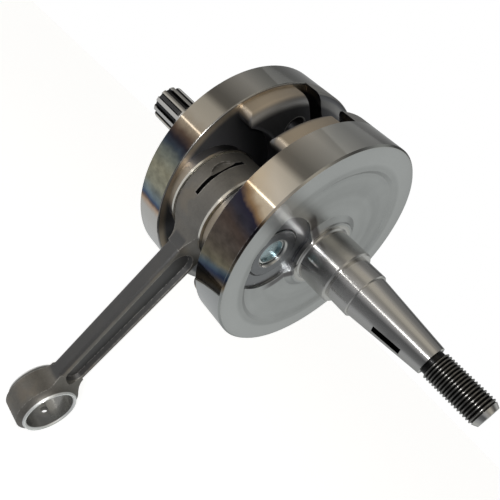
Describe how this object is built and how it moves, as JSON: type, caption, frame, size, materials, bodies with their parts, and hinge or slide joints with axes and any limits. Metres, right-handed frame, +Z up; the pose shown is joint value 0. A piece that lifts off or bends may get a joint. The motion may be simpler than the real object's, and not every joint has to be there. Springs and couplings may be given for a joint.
{
  "type": "crankshaft",
  "caption": "Built-up single-cylinder crankshaft: two round webs pressed on a crank pin, a needle-bearing connecting rod, a keyed taper with thread, and a splined stub.",
  "frame": {"origin": "on the shaft axis, in the middle plane of the connecting rod", "axes": "+X along the shaft axis towards the threaded magneto end; +Z up, opposite to the way the rod hangs from the crank pin"},
  "size_m": [0.2025, 0.1, 0.1882],
  "materials": {
    "ground_steel": "satin ground steel",
    "pin_steel": "fine ground hardened steel",
    "plug_zinc": "blue zinc plated",
    "rod_steel": "shot-peened forged steel",
    "washer_steel": "polished hardened steel",
    "cage_metal": "silver-plated bearing cage",
    "roller_steel": "polished bearing steel"
  },
  "bodies": {
    "crank": {"magneto_half": "ground_steel", "drive_half": "ground_steel", "crank_pin": "pin_steel", "pin_plug_magneto": "plug_zinc", "pin_plug_drive": "plug_zinc"},
    "rod": {"connecting_rod": "rod_steel"},
    "washer_magneto": {"thrust_washer_magneto": "washer_steel"},
    "washer_drive": {"thrust_washer_drive": "washer_steel"},
    "cage": {"needle_cage": "cage_metal"},
    "roller_01": {"roller_01": "roller_steel"},
    "roller_02": {"roller_02": "roller_steel"},
    "roller_03": {"roller_03": "roller_steel"},
    "roller_04": {"roller_04": "roller_steel"},
    "roller_05": {"roller_05": "roller_steel"},
    "roller_06": {"roller_06": "roller_steel"},
    "roller_07": {"roller_07": "roller_steel"},
    "roller_08": {"roller_08": "roller_steel"},
    "roller_09": {"roller_09": "roller_steel"},
    "roller_10": {"roller_10": "roller_steel"},
    "roller_11": {"roller_11": "roller_steel"},
    "roller_12": {"roller_12": "roller_steel"},
    "roller_13": {"roller_13": "roller_steel"},
    "roller_14": {"roller_14": "roller_steel"},
    "roller_15": {"roller_15": "roller_steel"}
  },
  "joints": [
    {"name": "rod_swing", "type": "hinge", "parent": "crank", "child": "rod", "pos_m": [0, -0.02607, -0.01271], "axis": [1, 0, 0], "continuous": true},
    {"name": "washer_magneto_spin", "type": "hinge", "parent": "crank", "child": "washer_magneto", "pos_m": [0, -0.02607, -0.01271], "axis": [1, 0, 0], "continuous": true},
    {"name": "washer_drive_spin", "type": "hinge", "parent": "crank", "child": "washer_drive", "pos_m": [0, -0.02607, -0.01271], "axis": [1, 0, 0], "continuous": true},
    {"name": "cage_orbit", "type": "hinge", "parent": "crank", "child": "cage", "pos_m": [0, -0.02607, -0.01271], "axis": [1, 0, 0], "continuous": true},
    {"name": "roller_01_spin", "type": "hinge", "parent": "cage", "child": "roller_01", "pos_m": [0, -0.03116, -0.00128], "axis": [1, 0, 0], "continuous": true},
    {"name": "roller_02_spin", "type": "hinge", "parent": "cage", "child": "roller_02", "pos_m": [0, -0.03537, -0.00434], "axis": [1, 0, 0], "continuous": true},
    {"name": "roller_03_spin", "type": "hinge", "parent": "cage", "child": "roller_03", "pos_m": [0, -0.03797, -0.00885], "axis": [1, 0, 0], "continuous": true},
    {"name": "roller_04_spin", "type": "hinge", "parent": "cage", "child": "roller_04", "pos_m": [0, -0.03851, -0.01402], "axis": [1, 0, 0], "continuous": true},
    {"name": "roller_05_spin", "type": "hinge", "parent": "cage", "child": "roller_05", "pos_m": [0, -0.0369, -0.01897], "axis": [1, 0, 0], "continuous": true},
    {"name": "roller_06_spin", "type": "hinge", "parent": "cage", "child": "roller_06", "pos_m": [0, -0.03342, -0.02284], "axis": [1, 0, 0], "continuous": true},
    {"name": "roller_07_spin", "type": "hinge", "parent": "cage", "child": "roller_07", "pos_m": [0, -0.02867, -0.02495], "axis": [1, 0, 0], "continuous": true},
    {"name": "roller_08_spin", "type": "hinge", "parent": "cage", "child": "roller_08", "pos_m": [0, -0.02346, -0.02495], "axis": [1, 0, 0], "continuous": true},
    {"name": "roller_09_spin", "type": "hinge", "parent": "cage", "child": "roller_09", "pos_m": [0, -0.01871, -0.02284], "axis": [1, 0, 0], "continuous": true},
    {"name": "roller_10_spin", "type": "hinge", "parent": "cage", "child": "roller_10", "pos_m": [0, -0.01523, -0.01897], "axis": [1, 0, 0], "continuous": true},
    {"name": "roller_11_spin", "type": "hinge", "parent": "cage", "child": "roller_11", "pos_m": [0, -0.01362, -0.01402], "axis": [1, 0, 0], "continuous": true},
    {"name": "roller_12_spin", "type": "hinge", "parent": "cage", "child": "roller_12", "pos_m": [0, -0.01416, -0.00885], "axis": [1, 0, 0], "continuous": true},
    {"name": "roller_13_spin", "type": "hinge", "parent": "cage", "child": "roller_13", "pos_m": [0, -0.01676, -0.00434], "axis": [1, 0, 0], "continuous": true},
    {"name": "roller_14_spin", "type": "hinge", "parent": "cage", "child": "roller_14", "pos_m": [0, -0.02097, -0.00128], "axis": [1, 0, 0], "continuous": true},
    {"name": "roller_15_spin", "type": "hinge", "parent": "cage", "child": "roller_15", "pos_m": [0, -0.02607, -0.0002], "axis": [1, 0, 0], "continuous": true}
  ],
  "couplings": [
    {"joint": "cage_orbit", "follows": "rod_swing", "ratio": 0.56053},
    {"joint": "roller_01_spin", "follows": "rod_swing", "ratio": 4.1381},
    {"joint": "roller_02_spin", "follows": "rod_swing", "ratio": 4.1381},
    {"joint": "roller_03_spin", "follows": "rod_swing", "ratio": 4.1381},
    {"joint": "roller_04_spin", "follows": "rod_swing", "ratio": 4.1381},
    {"joint": "roller_05_spin", "follows": "rod_swing", "ratio": 4.1381},
    {"joint": "roller_06_spin", "follows": "rod_swing", "ratio": 4.1381},
    {"joint": "roller_07_spin", "follows": "rod_swing", "ratio": 4.1381},
    {"joint": "roller_08_spin", "follows": "rod_swing", "ratio": 4.1381},
    {"joint": "roller_09_spin", "follows": "rod_swing", "ratio": 4.1381},
    {"joint": "roller_10_spin", "follows": "rod_swing", "ratio": 4.1381},
    {"joint": "roller_11_spin", "follows": "rod_swing", "ratio": 4.1381},
    {"joint": "roller_12_spin", "follows": "rod_swing", "ratio": 4.1381},
    {"joint": "roller_13_spin", "follows": "rod_swing", "ratio": 4.1381},
    {"joint": "roller_14_spin", "follows": "rod_swing", "ratio": 4.1381},
    {"joint": "roller_15_spin", "follows": "rod_swing", "ratio": 4.1381}
  ]
}
